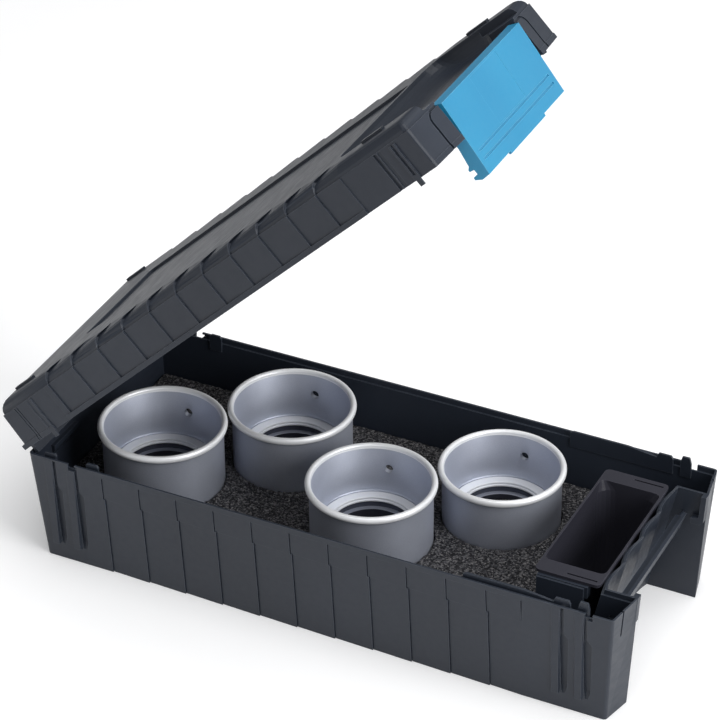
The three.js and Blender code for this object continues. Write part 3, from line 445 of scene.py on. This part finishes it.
PUNCH_SHELF_DROP = 31.5
PUNCH_SHELF_RADIUS = 32.0
PUNCH_BORE_RADIUS = 25.6
PUNCH_HOLE_RADIUS = 2.7
PUNCH_HOLE_DROP = 15.6
HOLE_INSIDE = 12
HOLE_OUTSIDE = 4
HOLE_STEPS = 32
AXIS_GAP = 0.01
HUB_THICKNESS = 3.0
LEDGE_DROP = 6.5
LEDGE_WIDTH = 3.2
HUB_BORE_RADIUS = 24.6
HUB_STEP = 0.8
HUB_STEP_DEPTH = 1.6
RIM_HEIGHT = 5.0
RIM_OVERHANG = 2.6
PUNCH_WALL = 1.2
BORE_MARGIN = 0.1
LEDGE_MARGIN = 0.05
HOLE_ANGLE = {"front_left": 92, "back_left": 93, "front_right": 98, "back_right": 90}


def node_frame(node):
    """Where a turned CAD node stands: its centre, foot height, outer radius and height, in mm."""
    low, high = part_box(node)
    middle = (low + high) / 2
    return middle.x, middle.y, low.z / MM, (high.x - low.x) / 2 / MM, (high.z - low.z) / MM


def punch_profile(radius, height):
    """The cup in section: a rim bead, a conical inner wall, a shelf, a bore and a ledge in it."""
    body = radius - RIM_OVERHANG
    inner = body - PUNCH_WALL
    shelf = height - PUNCH_SHELF_DROP
    return [
        (body - 2.0, 0.0), *arc(body - 2.0, 2.0, 2.0, 2.0, -90, 0, 6)[1:],
        (body, 8.0), (body, height - 8.0),
        *arc(body + 0.9, height - 6.4, 0.9, 1.4, 180, 120, 4),
        *arc(radius - 1.9, height - 2.3, 1.9, 2.3, -50, 90, 14),
        *arc(radius - 1.9, height - 1.6, 1.8, 1.6, 90, 168, 8)[1:],
        (inner + 0.15, height - 2.0), (inner - 0.15, height - 2.6),
        (PUNCH_SHELF_RADIUS + 0.5, shelf + 0.8), (PUNCH_SHELF_RADIUS, shelf + 0.2),
        (PUNCH_SHELF_RADIUS, shelf - HUB_THICKNESS),
        (PUNCH_BORE_RADIUS, shelf - HUB_THICKNESS), (PUNCH_BORE_RADIUS, shelf - LEDGE_DROP),
        (PUNCH_BORE_RADIUS - LEDGE_WIDTH, shelf - LEDGE_DROP),
        (PUNCH_BORE_RADIUS - LEDGE_WIDTH, 0.0),
    ]


def mark_faces(mesh, height):
    """Marks the faces of the turned rim, and those of the bore apart from its ledge; the bore
    faces get painted shade.
    """
    polished = mesh.attributes.new(POLISHED, "FLOAT", "FACE")
    shaded = mesh.attributes.new(SHADED, "FLOAT", "FACE")
    for face in mesh.polygons:
        middle = face.center / MM
        if middle.z > height - RIM_HEIGHT:
            polished.data[face.index].value = 1.0
        in_bore = math.hypot(middle.x, middle.y) < PUNCH_BORE_RADIUS + BORE_MARGIN
        on_ledge = abs(middle.z - (height - PUNCH_SHELF_DROP - LEDGE_DROP)) < LEDGE_MARGIN
        if in_bore and not on_ledge:
            shaded.data[face.index].value = 1.0


def add_punch(place):
    x, y, foot, radius, height = node_frame(f"punch_{place}")
    mesh = turned_mesh(f"punch_{place}", punch_profile(radius, height))
    near, far = radius - HOLE_INSIDE, radius + HOLE_OUTSIDE
    hole = turned_mesh("hole", [
        (AXIS_GAP, near), (PUNCH_HOLE_RADIUS, near), (PUNCH_HOLE_RADIUS, far), (AXIS_GAP, far),
    ], HOLE_STEPS)
    aimed(hole, math.radians(HOLE_ANGLE[place]), height - PUNCH_HOLE_DROP)
    made = carved(mesh, hole)
    mark_faces(made, height)
    made.transform(Matrix.Translation((x, y, foot * MM)))
    new_piece(f"turned_punch_{place}", made, aluminium_look, "case", "punch_aluminium",
              f"punch_{place}")


def add_hub(place):
    x, y, foot, radius, height = node_frame(f"hub_ring_{place}")
    step = HUB_BORE_RADIUS + HUB_STEP
    profile = [
        (step, 0.0), (radius - 0.3, 0.0), (radius, 0.3), (radius, height - 0.5),
        (radius - 0.5, height), (step + 0.3, height), (step, height - 0.3),
        (step, height - HUB_STEP_DEPTH), (HUB_BORE_RADIUS + 0.2, height - HUB_STEP_DEPTH),
        (HUB_BORE_RADIUS, height - HUB_STEP_DEPTH - 0.2), (HUB_BORE_RADIUS, 0.4),
    ]
    mesh = turned_mesh(f"hub_ring_{place}", profile)
    piece = new_piece(f"turned_hub_{place}", mesh, turned_look, "case", "turned_ring",
                      f"hub_ring_{place}")
    piece.location = (x, y, foot * MM)


for place in PUNCH_PLACES:
    add_punch(place)
    add_hub(place)


# ------------------------------------------------------------------- the foam

FOAM_VOXEL = 0.0012
FOAM_RELIEF = 0.0006
CRUMB_CELLS = 700.0
CRUMB_WAVES = 420.0


def joined(nodes):
    """One mesh with the faces of several CAD nodes."""
    made = bmesh.new()
    for node in nodes:
        made.from_mesh(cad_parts[node].data)
    mesh = bpy.data.meshes.new("joined")
    made.to_mesh(mesh)
    made.free()
    return mesh


def foam_piece(name, body, *nodes):
    """The CAD foam remeshed finely, with its surface worn down into crumbs."""
    source = linked("foam_source", joined(nodes))
    remesh = source.modifiers.new("remesh", "REMESH")
    remesh.mode = "VOXEL"
    remesh.voxel_size = FOAM_VOXEL
    mesh = evaluated(source)
    bpy.data.objects.remove(source)
    mesh.materials.clear()
    normals = [vertex.normal.copy() for vertex in mesh.vertices]
    for vertex, normal in zip(mesh.vertices, normals):
        crumb = noise.cell(vertex.co * CRUMB_CELLS)
        soft = noise.noise(vertex.co * CRUMB_WAVES) * 0.5 + 0.5
        vertex.co -= normal * FOAM_RELIEF * (0.15 + 0.45 * crumb + 0.6 * soft)
    mesh.update()
    mesh.shade_smooth()
    piece = new_piece(name, mesh, foam_look, body, "foam", *nodes)


foam_piece("foam_bed", "case", "foam_base", "foam_insert")
foam_piece("lid_foam", "lid", "lid_foam_pad")


# ----------------------------------------------------------- stage and lights

FLOOR_LIFT = 0.16
FLOOR_HALF = 6.0
FLOOR_GAP = 0.0002
WORLD_STRENGTH = 0.24

# Each lamp's name, its size in metres, its power in watts, its place and what it points at.
LAMPS = (
    ("overhead", (2.4, 2.4), 46, (0.2, -0.1, 2.4), (0, 0, 0)),
    ("key", (1.3, 1.3), 38, (2.0, -0.5, 1.15), (0, 0, 0.12)),
    ("back", (1.6, 1.2), 6, (1.45, 1.9, 0.95), (0, 0, 0.15)),
)


def add_floor():
    mesh = bpy.data.meshes.new("floor")
    corners = [(-1, -1), (1, -1), (1, 1), (-1, 1)]
    mesh.from_pydata([(x * FLOOR_HALF, y * FLOOR_HALF, 0) for x, y in corners],
                     [], [(0, 1, 2, 3)])
    floor = linked("floor", mesh)
    floor.location.z = -FLOOR_GAP
    s = Shader("floor")
    speck = s.noise(40.0, 2.0)
    s.set(Base_Color=s.blend(speck, (0.90, 0.90, 0.905), (0.92, 0.92, 0.925)), Roughness=0.9)
    path = s.node("ShaderNodeLightPath").outputs
    seen = s.math("MAXIMUM", path["Is Camera Ray"], path["Is Glossy Ray"])
    seen = s.math("MAXIMUM", seen, path["Is Transmission Ray"])
    s.set(Specular_IOR_Level=0.2, Emission_Color=(1, 1, 1, 1))
    s.set(Emission_Strength=s.math("MULTIPLY", seen, FLOOR_LIFT))
    floor.data.materials.append(s.material)


def add_light(name, size, energy, place, target):
    data = bpy.data.lights.new(name, "AREA")
    data.shape = "RECTANGLE"
    data.size, data.size_y = size
    data.energy = energy
    lamp = bpy.data.objects.new(name, data)
    place, target = Vector(place), Vector(target)
    turn = (place - target).to_track_quat("Z", "Y").to_matrix().to_4x4()
    lamp.matrix_world = Matrix.Translation(place) @ turn
    bpy.context.scene.collection.objects.link(lamp)


def add_world():
    """An even, rather dim studio: most of the light comes from the lamps and the floor."""
    world = bpy.data.worlds.new("studio")
    bpy.context.scene.world = world
    world.use_nodes = True
    background = world.node_tree.nodes["Background"]
    background.inputs["Color"].default_value = (0.97, 0.98, 1.0, 1)
    background.inputs["Strength"].default_value = WORLD_STRENGTH


add_camera()
add_world()
add_floor()
for lamp in LAMPS:
    add_light(*lamp)
bpy.context.scene.view_settings.view_transform = "Standard"
